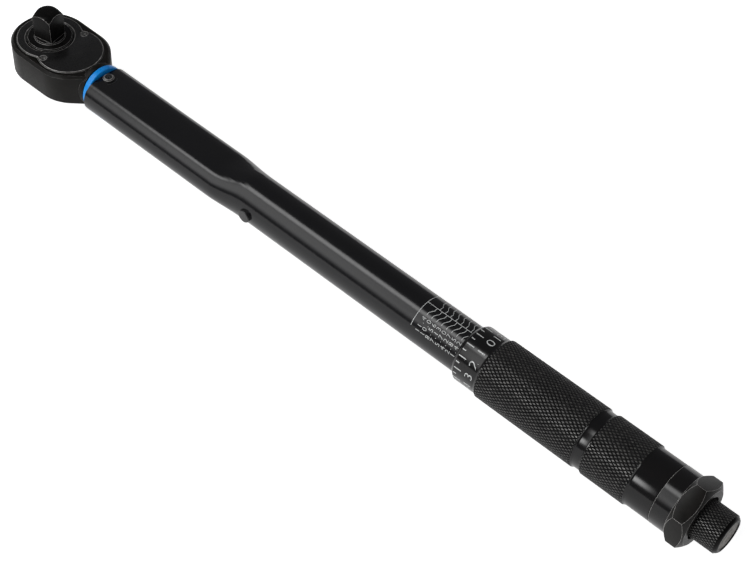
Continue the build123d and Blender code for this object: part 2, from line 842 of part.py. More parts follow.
with BuildPart() as grip_sleeve:
    turned_on_x(
        (thimble_front, sleeve_bore),
        (thimble_front, sleeve_bore + thimble_lip),
        (thimble_front + thimble_bevel, thimble_radius),
        (grip_start, thimble_radius),
        (grip_start + grip_shoulder, grip_radius),
        (groove_start - grip_shoulder / 2, grip_radius),
        (groove_start, groove_radius),
        (groove_end, groove_radius),
        (groove_end + grip_shoulder / 2, grip_radius),
        (grip_end - grip_shoulder / 2, grip_radius),
        (grip_end, sleeve_radius),
        (sleeve_end - 0.15, sleeve_radius),
        (sleeve_end, sleeve_radius - 0.15),
        (sleeve_end, sleeve_bore),
    )
grip_sleeve.part.label = "grip_sleeve"

with BuildPart() as end_nut:
    turned_on_x(
        (end_nut_spigot_front, screw_shoulder_radius),
        (end_nut_spigot_front, sleeve_bore),
        (sleeve_end, sleeve_bore),
        (sleeve_end, end_nut_collar_radius - 0.25),
        (sleeve_end + 0.25, end_nut_collar_radius),
        (front_cone_start, end_nut_collar_radius),
        (front_cone_end, end_nut_corner),
        (rear_cone_start, end_nut_corner),
        (end_nut_rear, rear_face_radius),
        (end_nut_rear, counterbore_radius),
        (counterbore_floor, counterbore_radius),
        (counterbore_floor, shank_bore),
        (screw_rear, shank_bore),
        (screw_rear, screw_shoulder_radius),
    )
    with BuildSketch(Plane.YZ.offset(front_cone_start)):
        Circle(end_nut_corner + 2)
        RegularPolygon(
            end_nut_flats / 2, 6, major_radius=False, rotation=30, mode=Mode.SUBTRACT
        )
    extrude(amount=end_nut_rear - front_cone_start, mode=Mode.SUBTRACT)
end_nut.part.label = "end_nut"

# ---------------------------------------------------------------- lock knob

with BuildPart() as lock_knob:
    knob_front = counterbore_floor + free_gap
    turned_on_x(
        (knob_shank_front, rod_bore),
        (knob_shank_front, knob_shank_radius),
        (clip_front, knob_shank_radius),
        (clip_front, knob_shank_radius - clip_groove),
        (clip_rear, knob_shank_radius - clip_groove),
        (clip_rear, knob_shank_radius),
        (knob_front, knob_shank_radius),
        (knob_front, knob_radius),
        (knob_end - knob_rim, knob_radius),
        (knob_end, knob_radius - knob_rim),
        (knob_end, knob_recess_radius),
        (knob_end - knob_recess_depth, knob_recess_radius),
        (knob_end - knob_recess_depth, 0),
        (knob_shank_front + knob_bore_depth, 0),
        (knob_shank_front + knob_bore_depth, rod_bore),
    )
lock_knob.part.label = "lock_knob"

with BuildPart() as knob_clip:
    turned_on_x(
        (clip_front, knob_shank_radius - clip_groove),
        (clip_front, clip_radius),
        (clip_rear, clip_radius),
        (clip_rear, knob_shank_radius - clip_groove),
    )
knob_clip.part.label = "knob_clip"

with BuildPart() as lock_rod:
    turned_on_x(
        (lock_cone_front + rod_setback, 0),
        (lock_cone_front + rod_setback, lock_rod_radius - lock_cone_drop),
        (lock_cone_rear + rod_setback, lock_rod_radius),
        (knob_shank_front + lock_rod_entry, lock_rod_radius),
        (knob_shank_front + lock_rod_entry, 0),
    )
lock_rod.part.label = "lock_rod"

# ---------------------------------------------------------------- files

os.makedirs("parts", exist_ok=True)
for piece in (
    head_body,
    cover_plate,
    cover_screws,
    drive_gear,
    detent_ball,
    detent_spring,
    pawl,
    pawl_pin,
    reverse_lever,
    lever_clip,
    pawl_plunger,
    pawl_spring,
    tube,
    neck_ring,
    pivot_pin,
    guide_bush,
    side_pin,
    adjusting_nut,
    nut_pins,
    tilt_block,
    plunger,
    main_spring,
    spring_seat,
    thrust_ball,
    adjusting_screw,
    grip_sleeve,
    end_nut,
    lock_knob,
    knob_clip,
    lock_rod,
):
    export_step(piece.part, f"parts/{piece.part.label}.step")
print(f"click {click_angle} deg, block tilt {block_tilt:.3f} deg, plunger {plunger_give:.4f} mm")
print(f"handle {scale_turns} turns, {adjust_travel:.3f} mm")
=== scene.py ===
import json
from math import cos, degrees, pi, radians, sin

import bmesh
import bpy
from mathutils import Matrix, Vector


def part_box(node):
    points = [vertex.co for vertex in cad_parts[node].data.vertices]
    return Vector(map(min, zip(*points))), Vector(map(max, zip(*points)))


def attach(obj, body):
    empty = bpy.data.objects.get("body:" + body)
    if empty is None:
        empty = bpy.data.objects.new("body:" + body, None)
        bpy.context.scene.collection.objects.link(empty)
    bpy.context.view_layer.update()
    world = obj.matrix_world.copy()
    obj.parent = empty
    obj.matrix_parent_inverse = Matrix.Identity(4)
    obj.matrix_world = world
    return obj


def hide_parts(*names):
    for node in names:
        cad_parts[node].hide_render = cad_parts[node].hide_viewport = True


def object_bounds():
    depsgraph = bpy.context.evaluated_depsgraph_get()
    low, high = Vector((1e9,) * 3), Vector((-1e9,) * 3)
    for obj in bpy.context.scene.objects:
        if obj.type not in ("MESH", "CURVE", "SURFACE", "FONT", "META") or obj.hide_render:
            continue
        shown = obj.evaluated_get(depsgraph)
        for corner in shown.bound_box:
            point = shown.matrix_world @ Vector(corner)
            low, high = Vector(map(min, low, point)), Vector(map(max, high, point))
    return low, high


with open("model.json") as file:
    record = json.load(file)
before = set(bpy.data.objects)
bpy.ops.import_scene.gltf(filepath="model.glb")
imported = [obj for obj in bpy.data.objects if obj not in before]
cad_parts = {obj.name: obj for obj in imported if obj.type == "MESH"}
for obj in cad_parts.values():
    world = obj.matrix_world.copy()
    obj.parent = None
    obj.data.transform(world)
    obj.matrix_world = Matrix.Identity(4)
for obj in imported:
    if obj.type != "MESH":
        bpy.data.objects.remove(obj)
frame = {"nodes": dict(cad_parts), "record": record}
cad_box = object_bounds()

bl_info = {
    "name": "Torque wrench",
    "version": (1, 0, 0),
    "blender": (4, 5, 0),
    "location": "View3D > Sidebar > Torque wrench",
    "description": "Builds the finished look of a click-type torque wrench round its solids",
    "category": "Object",
}

MM = 0.001
TUBE_AXIS = (1.0, 0.0, 0.0)

# the solids' own sizes that new pieces are fitted to, in millimetres
TUBE_RADIUS = 10.43
TUBE_FLAT = 8.0          # from the tube axis to a pressed flat
GRIP_BORE = 10.49
THIMBLE_WALL = 1.81
THREAD_PITCH = 2.54
HEXAGON_LENGTH = 8.3     # with the cone that leads to it

# how far printing stands out of the surface it is on, and how deep its sides go in
INK_PROUD = 0.02
INK_DEPTH = 0.1


class WrenchSizes(bpy.types.PropertyGroup):
    """Sizes of the details that are modelled here, in metres."""

    knurl_length: bpy.props.FloatProperty(
        name="Knurl length", description="Length of one diamond along the grip",
        default=2.38 * MM, min=0.5 * MM, unit="LENGTH")
    knurl_cells: bpy.props.IntProperty(
        name="Knurl cells", description="Diamonds round the grip", default=53, min=12)
    knurl_depth: bpy.props.FloatProperty(
        name="Knurl depth", description="Height of a diamond above the cut",
        default=0.42 * MM, min=0.05 * MM, unit="LENGTH")
    knob_knurl_length: bpy.props.FloatProperty(
        name="Knob knurl length", description="Length of one diamond along the lock knob",
        default=2.18 * MM, min=0.5 * MM, unit="LENGTH")
    knob_knurl_cells: bpy.props.IntProperty(
        name="Knob knurl cells", description="Diamonds round the lock knob", default=41, min=12)
    line_width: bpy.props.FloatProperty(
        name="Scale line width", description="Width of a printed scale line",
        default=0.22 * MM, min=0.05 * MM, unit="LENGTH")
    numeral_height: bpy.props.FloatProperty(
        name="Scale numeral height", description="Height of the numerals on the tube",
        default=2.0 * MM, min=0.5 * MM, unit="LENGTH")
    digit_height: bpy.props.FloatProperty(
        name="Thimble digit height", description="Height of the digits on the thimble",
        default=3.5 * MM, min=0.5 * MM, unit="LENGTH")
    edge_round: bpy.props.FloatProperty(
        name="Edge round", description="Rounding of machined edges",
        default=0.18 * MM, min=0.02 * MM, unit="LENGTH")


class WrenchColours(bpy.types.PropertyGroup):
    """Colours of the finishes, as sRGB hex values."""

    enamel: bpy.props.StringProperty(
        name="Tube", description="Gloss black of the tube", default="#0f0f11")
    oxide: bpy.props.StringProperty(
        name="Head", description="Satin black oxide of the head", default="#12110f")
    oxide_light: bpy.props.StringProperty(
        name="Head, lighter", description="Where the oxide is thin", default="#1a1816")
    ring: bpy.props.StringProperty(
        name="Ring", description="Blue of the neck ring", default="#049af8")
    marking: bpy.props.StringProperty(
        name="Marking", description="White of the scale", default="#e9ebea")


# ---------------------------------------------------------------- finishes

def colour(hex_value):
    """An sRGB hex value as the linear colour a shader takes."""
    parts = [int(hex_value[i:i + 2], 16) / 255 for i in (1, 3, 5)]
    return [c / 12.92 if c <= 0.04045 else ((c + 0.055) / 1.055) ** 2.4 for c in parts] + [1.0]


def per_metre(size_mm):
    """The texture scale that makes a pattern repeat about every size_mm."""
    return 1.0 / (size_mm * MM)


def add_node(material, kind, inputs=None, **settings):
    """Add a node with its settings; an input is a value, or the output it is linked from."""
    tree = material.node_tree
    node = tree.nodes.new(kind)
    for name, value in settings.items():
        setattr(node, name, value)
    for key, value in (inputs or {}).items():
        if isinstance(value, bpy.types.NodeSocket):
            tree.links.new(value, node.inputs[key])
        else:
            node.inputs[key].default_value = value
    return node


def grained_finish(name, dark, light, metallic, rough, grain_mm, patch_mm, relief,
                   stretch=(1.0, 1.0, 1.0), **shader):
    """A finish with a fine grain that moves roughness and relief, and patches of thin colour.

    rough is (lowest, highest). stretch draws the grain out, as turning or grinding does.
    """
    material = bpy.data.materials.new(name)
    material.use_nodes = True
    material.node_tree.nodes.clear()
    place = add_node(material, "ShaderNodeTexCoord").outputs["Object"]
    drawn = add_node(material, "ShaderNodeMapping", {"Vector": place, "Scale": stretch})
    grain = add_node(material, "ShaderNodeTexNoise", {
        "Vector": drawn.outputs["Vector"], "Scale": per_metre(grain_mm), "Detail": 4.0,
        "Roughness": 0.6})
    patch = add_node(material, "ShaderNodeTexNoise", {
        "Vector": place, "Scale": per_metre(patch_mm), "Detail": 3.0, "Roughness": 0.55})
    spread = add_node(material, "ShaderNodeMapRange", {
        "Value": patch.outputs["Fac"], "From Min": 0.35, "From Max": 0.7})
    tone = add_node(material, "ShaderNodeMix", {
        0: spread.outputs["Result"], 6: colour(dark), 7: colour(light)}, data_type="RGBA")
    sheen = add_node(material, "ShaderNodeMapRange", {
        "Value": grain.outputs["Fac"], "From Min": 0.3, "From Max": 0.7,
        "To Min": rough[0], "To Max": rough[1]})
    bump = add_node(material, "ShaderNodeBump", {
        "Height": grain.outputs["Fac"], "Strength": relief, "Distance": grain_mm * MM * 0.3})
    shaded = add_node(material, "ShaderNodeBsdfPrincipled", {
        "Base Color": tone.outputs[2], "Metallic": metallic, "Roughness": sheen.outputs["Result"],
        "Normal": bump.outputs["Normal"], **shader})
    add_node(material, "ShaderNodeOutputMaterial", {"Surface": shaded.outputs["BSDF"]})
    return material


def make_finishes(colours):
    """Every finish of the wrench, by the record's slot."""
    return {
        # hot black oxide on a shot-blasted forging: dark, satin, a little warm, with a fine tooth
        "blackened_steel": grained_finish(
            "shot_blasted_black_oxide", colours.oxide, colours.oxide_light, 0.0, (0.3, 0.5),
            0.5, 5.0, 0.4, IOR=1.24),
        # black oxide on a fine-ground plate: smoother and darker than the forging
        "blackened_plate": grained_finish(
            "fine_ground_black_oxide", "#131313", "#191919", 0.0, (0.24, 0.34),
            0.3, 4.0, 0.12, IOR=1.48),
        # hardened and oxided square drive: satin with turning marks
        "drive_steel": grained_finish(
            "turned_black_oxide", "#0b0b0b", "#131211", 0.0, (0.16, 0.3),
            0.4, 2.5, 0.2, IOR=1.2),
        # polished and dipped pins: dark gloss; their bright rims are the painted highlight on the
        # bevels, where the dip is also thin
        "hardware_steel": grained_finish(
            "polished_black_oxide", "#1a1a1a", "#262626", 0.0, (0.22, 0.34),
            0.4, 2.0, 0.15, IOR=1.55),
        # black enamel over drawn tube: mirror gloss with a faint orange peel
        "gloss_tube": grained_finish(
            "gloss_black_enamel", colours.enamel, "#131315", 0.0, (0.13, 0.18),
            2.2, 30.0, 0.03, IOR=1.47),
        # moulded blue ring: saturated, glossy
        "blue_ring": grained_finish(
            "moulded_blue_polymer", colours.ring, "#0291ee", 0.0, (0.24, 0.32),
            0.8, 8.0, 0.04, IOR=1.5),
        # oxided knurl: satin flanks; the lighter crests are a painted highlight, where hands also rub
        "grip_steel": grained_finish(
            "knurled_black_oxide", "#141415", "#1e1e1e", 0.0, (0.26, 0.4),
            0.3, 5.0, 0.1, IOR=1.5),
        # turned and oxided nut: bands of gloss round the axis
        "end_nut_steel": grained_finish(
            "turned_gloss_oxide", "#0b0b0c", "#110f0f", 0.0, (0.11, 0.18),
            0.35, 8.0, 0.04, stretch=(1.0, 0.2, 0.2), IOR=1.45),
        # hexagon worn by spanners: duller, warmer and less of a mirror than the turned band
        "hexagon": grained_finish(
            "spanner_worn_oxide", "#131210", "#1b1917", 0.0, (0.26, 0.4), 0.4, 3.0, 0.2, IOR=1.27),
        # painted highlight on the bevels of every machined part: thin light lines that also stand for
        # oxide rubbed through at the edges
        "edge_highlight_and_wear": grained_finish(
            "painted_edge_highlight_on_rubbed_oxide", "#777674", "#c4c2bf", 0.2, (0.28, 0.42), 0.25, 1.1, 0.1),
        # painted highlight on the crests of the knurl, where the oxide is also rubbed thin
        "crest": grained_finish(
            "painted_crest_highlight_on_rubbed_knurl", "#333333", "#706f6c", 0.2, (0.24, 0.4), 0.3, 0.9, 0.1),
        # end face of the knob as cast: coarse, catching light in specks
        "cast_end": grained_finish(
            "cast_knob_end", "#2a2826", "#8f8a83", 0.6, (0.28, 0.5), 0.8, 0.8, 1.0),
        # oiled music wire
        "spring_steel": grained_finish(
            "oiled_spring_wire", "#4a4a4d", "#5c5b5c", 0.9, (0.28, 0.4), 0.5, 5.0, 0.1),
        # bright machined steel under grease
        "inner_steel": grained_finish(
            "machined_steel", "#8c8b88", "#a09e9a", 1.0, (0.24, 0.38), 0.3, 6.0, 0.12,
            stretch=(1.0, 0.15, 0.15)),
        # turned bearing bronze
        "bronze": grained_finish(
            "turned_bronze", "#b08a4c", "#c29a58", 1.0, (0.26, 0.4), 0.3, 6.0, 0.1,
            stretch=(1.0, 0.15, 0.15)),
    }


def marking_finish(hex_value):
    """Pad-printed white marking: matt, slightly uneven where the ink is thin."""
    return grained_finish("pad_printed_white", hex_value, "#d5d8d7", 0.0, (0.5, 0.65),
                          0.3, 1.5, 0.1, IOR=1.5)


# ---------------------------------------------------------------- making pieces

def finish_piece(mesh_maker, name, body, materials, replaced=(), sharp=35.0):
    """Turn a bmesh drawn in millimetres into a piece in metres that rides on its body."""
    bmesh.ops.remove_doubles(mesh_maker, verts=mesh_maker.verts, dist=1e-3)
    bmesh.ops.recalc_face_normals(mesh_maker, faces=mesh_maker.faces)
    bmesh.ops.scale(mesh_maker, vec=(MM, MM, MM), verts=mesh_maker.verts)
    mesh = bpy.data.meshes.new(name)
    mesh_maker.to_mesh(mesh)
    mesh_maker.free()
    mesh.shade_smooth()
    mesh.set_sharp_from_angle(angle=radians(sharp))
    for material in materials:
        mesh.materials.append(material)
    piece = bpy.data.objects.new(name, mesh)
    bpy.context.scene.collection.objects.link(piece)
    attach(piece, body)
    if replaced:
        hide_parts(*replaced)
    return piece


def turn(shape, profile, steps=128):
    """Turn a closed profile of (x, radius) points about the tube axis."""
    points = [shape.verts.new((x, 0.0, radius)) for x, radius in profile]
    ring = [shape.edges.new(pair) for pair in zip(points, points[1:] + points[:1])]
    bmesh.ops.spin(shape, geom=points + ring, cent=(0, 0, 0), axis=TUBE_AXIS,
                   angle=2 * pi, steps=steps, use_merge=True)
    bmesh.ops.remove_doubles(shape, verts=shape.verts, dist=1e-3)


def knurled_band(x_from, x_to, crest, depth, length, cells, inside):
    """A closed band of diamond knurl: one diamond, repeated round and along, cut square at its ends."""
    shape = bmesh.new()
    half_turn = pi / cells
    valley = crest - depth
    row = length / 2
    first = x_from - length
    around = [(first - row, 0.0), (first, -half_turn), (first + row, 0.0), (first, half_turn)]
    corners = [shape.verts.new((x, valley * sin(a), valley * cos(a))) for x, a in around]
    diamond = shape.faces.new(corners)
    diamond.normal_update()
    if diamond.normal.z < 0:
        bmesh.ops.reverse_faces(shape, faces=[diamond])
    flank = 0.6 * valley * half_turn
    crown_rise = 0.03
    bmesh.ops.inset_individual(shape, faces=[diamond], thickness=flank, depth=depth)
    crown = bmesh.ops.poke(shape, faces=[diamond], offset=crown_rise)
    # the small pyramid on each diamond takes slot 1: painted crest highlight, also standing for rubbed
    # oxide
    for face in crown["faces"]:
        face.material_index = 1
    turn_all = 2 * pi / cells
    bmesh.ops.spin(shape, geom=shape.verts[:] + shape.edges[:] + shape.faces[:], cent=(0, 0, 0),
                   axis=TUBE_AXIS, angle=turn_all * (cells - 1), steps=cells - 1,
                   use_duplicate=True)
    second = bmesh.ops.duplicate(shape, geom=shape.verts[:] + shape.edges[:] + shape.faces[:])
    moved = [v for v in second["geom"] if isinstance(v, bmesh.types.BMVert)]
    bmesh.ops.rotate(shape, verts=moved, cent=(0, 0, 0), matrix=Matrix.Rotation(half_turn, 3, "X"))
    bmesh.ops.translate(shape, verts=moved, vec=(row, 0, 0))
    rows = int((x_to - x_from) / length) + 3
    bmesh.ops.spin(shape, geom=shape.verts[:] + shape.edges[:] + shape.faces[:], cent=(0, 0, 0),
                   axis=TUBE_AXIS, dvec=(length, 0, 0), angle=0.0, steps=rows,
                   use_duplicate=True)
    bmesh.ops.remove_doubles(shape, verts=shape.verts, dist=2e-3)
    for x, side in ((x_from, -1), (x_to, 1)):
        bmesh.ops.bisect_plane(shape, geom=shape.verts[:] + shape.edges[:] + shape.faces[:],
                               plane_co=(x, 0, 0), plane_no=(side, 0, 0), clear_outer=True)
    rims = []
    for x in (x_from, x_to):
        loop = [e for e in shape.edges if e.is_boundary and abs(e.verts[0].co.x - x) < 1e-3
                and abs(e.verts[1].co.x - x) < 1e-3]
        grown = bmesh.ops.extrude_edge_only(shape, edges=loop)["geom"]
        for vert in (v for v in grown if isinstance(v, bmesh.types.BMVert)):
            vert.co.yz = vert.co.yz.normalized() * inside
        rims += [e for e in grown if isinstance(e, bmesh.types.BMEdge)]
    bmesh.ops.triangulate(shape, faces=[f for f in shape.faces if len(f.verts) > 4])
    return shape, rims


def softened_copy(node, width, segments=2, corner=25.0):
    """A merged copy of a solid, in millimetres, with its sharp edges rounded; the bevels take slot 1, a
    painted highlight that also stands for rubbed oxide.
    """
    shape = bmesh.new()
    shape.from_mesh(frame["nodes"][node].data)
    bmesh.ops.scale(shape, vec=(1 / MM,) * 3, verts=shape.verts)
    bmesh.ops.remove_doubles(shape, verts=shape.verts, dist=1e-3)
    bmesh.ops.dissolve_limit(shape, angle_limit=radians(0.5), verts=shape.verts, edges=shape.edges)
    bmesh.ops.recalc_face_normals(shape, faces=shape.faces)
    sharp = [e for e in shape.edges
             if e.is_manifold and e.calc_face_angle(0.0) > radians(corner)]
    rounded = bmesh.ops.bevel(shape, geom=sharp, offset=width, offset_type="OFFSET",
                              segments=segments, profile=0.5, affect="EDGES", material=-1,
                              clamp_overlap=True)
    # the bevel faces take slot 1: painted edge highlight, also standing for rubbed oxide
    for face in rounded["faces"]:
        face.material_index = 1
    return shape


def scale_line(shape, x, angle, radius, width, legs):
    """A printed line on a round surface. Each leg is (degrees round, millimetres along)."""
    turned = Matrix.Rotation(radians(angle), 4, "X")
    section = [shape.verts.new(turned @ Vector((x + side * width / 2, r, 0)))
               for side, r in ((-1, radius - INK_DEPTH), (1, radius - INK_DEPTH),
                               (1, radius + INK_PROUD), (-1, radius + INK_PROUD))]
    edges = [shape.edges.new(pair) for pair in zip(section, section[1:] + section[:1])]
    ends = [edges]
    geometry = section + edges
    for degrees_round, along in legs:
        steps = max(2, int(abs(degrees_round) / 3))    # about three degrees each
        spun = bmesh.ops.spin(shape, geom=geometry, cent=(0, 0, 0), axis=TUBE_AXIS,
                              dvec=(along / steps, 0, 0), angle=radians(degrees_round),
                              steps=steps)
        geometry = spun["geom_last"]
    ends.append([e for e in geometry if isinstance(e, bmesh.types.BMEdge)])
    for loop in ends:
        bmesh.ops.edgeloop_fill(shape, edges=loop)


def straight_line(shape, x_from, x_to, angle, radius, width):
    """A printed line along a round surface."""
    half = degrees(width / (2 * radius))
    scale_line(shape, (x_from + x_to) / 2, angle - half, radius, x_to - x_from,
               [(2 * half, 0.0)])


def numeral(shape, text, x_foot, angle, radius, height, align, spacing=1.4, broad=1.0):
    """Write figures round a surface, their tops towards the head, and merge them into shape."""
    curve = bpy.data.curves.new(f"text_{text}", "FONT")
    curve.body = text
    curve.align_x = align
    curve.resolution_u = 3
    curve.space_character = spacing
    curve.offset = -0.014    # thins the strokes
    curve.extrude = 0.01
    holder = bpy.data.objects.new(curve.name, curve)
    bpy.context.scene.collection.objects.link(holder)
    bpy.context.view_layer.update()
    mesh = bpy.data.meshes.new_from_object(holder.evaluated_get(
        bpy.context.evaluated_depsgraph_get()))
    bpy.data.objects.remove(holder)
    glyphs = bmesh.new()
    glyphs.from_mesh(mesh)
    bpy.data.meshes.remove(mesh)
    tall = max(v.co.y for v in glyphs.verts) - min(v.co.y for v in glyphs.verts)
    bmesh.ops.remove_doubles(glyphs, verts=glyphs.verts, dist=1e-5)
    bmesh.ops.scale(glyphs, vec=(broad * height / tall, height / tall, 1.0), verts=glyphs.verts)
    for vert in glyphs.verts:
        level = radius + (INK_PROUD if vert.co.z > 0 else -INK_DEPTH)
        place = radians(angle) - vert.co.x / radius
        vert.co = (x_foot - vert.co.y, level * cos(place), level * sin(place))
    bmesh.ops.recalc_face_normals(glyphs, faces=glyphs.faces)
    worked = bpy.data.meshes.new("glyphs")
    glyphs.to_mesh(worked)
    glyphs.free()
    shape.from_mesh(worked)
    bpy.data.meshes.remove(worked)


# ---------------------------------------------------------------- operators

class WrenchOperator:
    """What every operator of the wrench shares."""

    bl_options = {"REGISTER", "UNDO"}
    finishes = {}

    def execute(self, context):
        self.make(context.scene.wrench_sizes, context.scene.wrench_colours)
        return {"FINISHED"}


class WRENCH_OT_finishes(WrenchOperator, bpy.types.Operator):
    """Make the finishes and put them on the solids"""

    bl_idname = "wrench.finishes"
    bl_label = "Finishes"

    def make(self, sizes, colours):
        WrenchOperator.finishes.update(make_finishes(colours))
        WrenchOperator.finishes["marking"] = marking_finish(colours.marking)
        slots = {s["node"]: s["material_slot"] for s in frame["record"]["subparts"]}
        for name, node in frame["nodes"].items():
            node.data.materials.clear()
            node.data.materials.append(self.finishes[slots[name]])


class WRENCH_OT_head(WrenchOperator, bpy.types.Operator):
    """Round the edges of the head, its cover plate, the square drive and the pins, and paint a
    highlight on the bevels that also stands for rubbed oxide
    """

    bl_idname = "wrench.head"
    bl_label = "Head and pins"

    def make(self, sizes, colours):
        width = sizes.edge_round / MM
        for node, body, slot, share in (
            ("head_body", "head", "blackened_steel", 0.9),
            ("cover_plate", "head", "blackened_plate", 0.9),
            ("cover_screws", "head", "hardware_steel", 0.6),
            ("drive_gear", "drive", "drive_steel", 0.9),
            ("reverse_lever", "lever", "blackened_plate", 1.2),
            ("pivot_pin", "tube", "hardware_steel", 0.9),
            ("side_pin", "tube", "hardware_steel", 0.7),
        ):
            shape = softened_copy(node, width * share)
            # second slot: painted highlight on the bevels, also standing for rubbed oxide
            finish_piece(shape, f"{node}_soft", body,
                         (self.finishes[slot], self.finishes["edge_highlight_and_wear"]), (node,))


class WRENCH_OT_stake_marks(WrenchOperator, bpy.types.Operator):
    """Raise the two staked crescents beside the pivot pin, above and below"""

    bl_idname = "wrench.stake_marks"
    bl_label = "Stake marks"

    def make(self, sizes, colours):
        low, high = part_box("pivot_pin")
        middle = (low + high) / 2 / MM
        sweep = 96.0
        ridge = ((3.4, -0.35), (3.5, 0.06), (3.75, 0.14), (4.0, 0.04), (4.1, -0.35))
        shape = bmesh.new()
        for level in (1, -1):
            for side in (0.0, pi):
                section = [shape.verts.new((middle.x + reach, 0, level * (TUBE_FLAT + rise)))
                           for reach, rise in ridge]
                edges = [shape.edges.new(pair)
                         for pair in zip(section, section[1:] + section[:1])]
                bmesh.ops.rotate(shape, verts=section, cent=(middle.x, 0, 0),
                                 matrix=Matrix.Rotation(side - radians(sweep / 2), 3, "Z"))
                spun = bmesh.ops.spin(shape, geom=section + edges, cent=(middle.x, 0, 0),
                                      axis=(0, 0, 1), angle=radians(sweep), steps=20)
                for loop in (edges, [e for e in spun["geom_last"]
                                     if isinstance(e, bmesh.types.BMEdge)]):
                    bmesh.ops.edgeloop_fill(shape, edges=loop)
        finish_piece(shape, "stake_marks", "tube",
                     (self.finishes["hardware_steel"],))


class WRENCH_OT_end_nut(WrenchOperator, bpy.types.Operator):
    """Round the edges of the end nut, and dull its hexagon"""

    bl_idname = "wrench.end_nut"
    bl_label = "End nut"

    def make(self, sizes, colours):
        shape = softened_copy("end_nut", sizes.edge_round / MM * 1.1)
        hexagon_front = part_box("end_nut")[1].x / MM - HEXAGON_LENGTH
        for face in shape.faces:
            if face.material_index == 0 and face.calc_center_median().x > hexagon_front:
                face.material_index = 2
        # second slot: painted highlight on the bevels, also standing for rubbed oxide
        finish_piece(shape, "end_nut_soft", "handle",
                     (self.finishes["end_nut_steel"], self.finishes["edge_highlight_and_wear"],
                      self.finishes["hexagon"]), ("end_nut",))


class WRENCH_OT_grip(WrenchOperator, bpy.types.Operator):
    """Turn the sleeve and cut its two bands of knurling"""

    bl_idname = "wrench.grip"
    bl_label = "Grip"

    def make(self, sizes, colours):
        low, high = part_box("grip_sleeve")
        front, rear, crest = low.x / MM, high.x / MM, high.z / MM
        bore, depth = GRIP_BORE, sizes.knurl_depth / MM
        thimble = bore + THIMBLE_WALL
        under = crest - depth - 0.15
        groove, sleeve = bore + 1.91, bore + 1.94
        shoulder, groove_front, groove_rear, band_rear = (
            front + along for along in (13.0, 59.0, 63.9, 83.0))
        shell = bmesh.new()
        turn(shell, [
            # thimble, from its bevelled nose to the shoulder of the knurl
            (front, bore), (front, bore + 0.36), (front + 0.25, bore + 0.62),
            (front + 1.6, thimble - 0.09), (front + 1.85, thimble),
            (shoulder - 1.2, thimble), (shoulder - 1.0, thimble + 0.05),
            (shoulder - 0.1, crest - 0.15), (shoulder, crest - 0.25),
            # seat of the front band
            (shoulder, under), (groove_front, under),
            # groove between the bands
            (groove_front, crest - 0.3), (groove_front + 0.45, crest - 0.25),
            (groove_front + 0.9, groove + 0.02), (groove_front + 1.1, groove),
            (groove_rear - 1.0, groove), (groove_rear - 0.8, groove + 0.02),
            (groove_rear - 0.4, crest - 0.25), (groove_rear, crest - 0.3),
            # seat of the rear band
            (groove_rear, under), (band_rear, under),
            # smooth rear sleeve
            (band_rear, crest - 0.3), (band_rear + 0.5, crest - 0.25),
            (band_rear + 0.9, sleeve + 0.03), (band_rear + 1.1, sleeve), (rear - 0.2, sleeve),
            (rear - 0.05, sleeve - 0.06), (rear, sleeve - 0.15), (rear, bore),
        ], steps=144)
        finish_piece(shell, "grip_shell", "handle",
                     (self.finishes["end_nut_steel"],), ("grip_sleeve",))
        lap = 0.1
        for name, start, end in (("knurl_front", shoulder, groove_front),
                                 ("knurl_rear", groove_rear, band_rear)):
            shape, rims = knurled_band(start - lap, end + lap, crest, depth,
                                       sizes.knurl_length / MM, sizes.knurl_cells, under - 0.3)
            bmesh.ops.bridge_loops(shape, edges=rims)
            # second slot: painted highlight on the knurl crests, also standing for rubbed oxide
            finish_piece(shape, name, "handle",
                         (self.finishes["grip_steel"], self.finishes["crest"]), sharp=20.0)


class WRENCH_OT_lock_knob(WrenchOperator, bpy.types.Operator):
    """Turn the lock knob, with its knurl and its recessed end"""

    bl_idname = "wrench.lock_knob"
    bl_label = "Lock knob"

    def make(self, sizes, colours):
        low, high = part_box("lock_knob")
        front, rear, crest = low.x / MM, high.x / MM, high.z / MM
        depth = 0.36
        under = crest - depth - 0.12
        shank, bore, bore_end = 4.0, 2.56, front + 9.0
        head_front, band_front, band_rear = rear - 16.25, rear - 15.6, rear - 1.4
        shape = bmesh.new()
        turn(shape, [
            # hollow shank
            (front, bore), (front, shank), (head_front, shank),
            # front rim and the seat of the knurled band
            (head_front, crest - 0.5), (rear - 16.0, crest - 0.2), (band_front, crest - 0.2),
            (band_front, under), (band_rear, under),
            # rounded rear rim and the recess for the end disc
            (band_rear, crest - 0.25), (rear - 0.8, crest - 0.45), (rear - 0.25, crest - 0.95),
            (rear, crest - 1.4), (rear, 6.3), (rear - 0.12, 6.05), (rear - 0.4, 5.85),
            (rear - 0.4, 0.0), (bore_end, 0.0), (bore_end, bore),
        ], steps=96)
        finish_piece(shape, "knob_core", "lock_knob",
                     (self.finishes["drive_steel"],), ("lock_knob",))
        lap = 0.1
        band, rims = knurled_band(band_front - lap, band_rear + lap, crest, depth,
                                  sizes.knob_knurl_length / MM, sizes.knob_knurl_cells,
                                  under - 0.3)
        bmesh.ops.bridge_loops(band, edges=rims)
        # second slot: painted highlight on the knurl crests, also standing for rubbed oxide
        finish_piece(band, "knob_knurl", "lock_knob",
                     (self.finishes["grip_steel"], self.finishes["crest"]), sharp=20.0)
        disc = bmesh.new()
        turn(disc, [(rear - 1.0, 0.0), (rear - 0.3, 0.0), (rear - 0.26, 2.2), (rear - 0.12, 2.6),
                    (rear - 0.12, 3.1), (rear - 0.28, 3.5), (rear - 0.28, 5.2), (rear - 0.36, 5.8),
                    (rear - 1.0, 5.8)], steps=72)
        finish_piece(disc, "knob_end_disc", "lock_knob",
                     (self.finishes["cast_end"],))


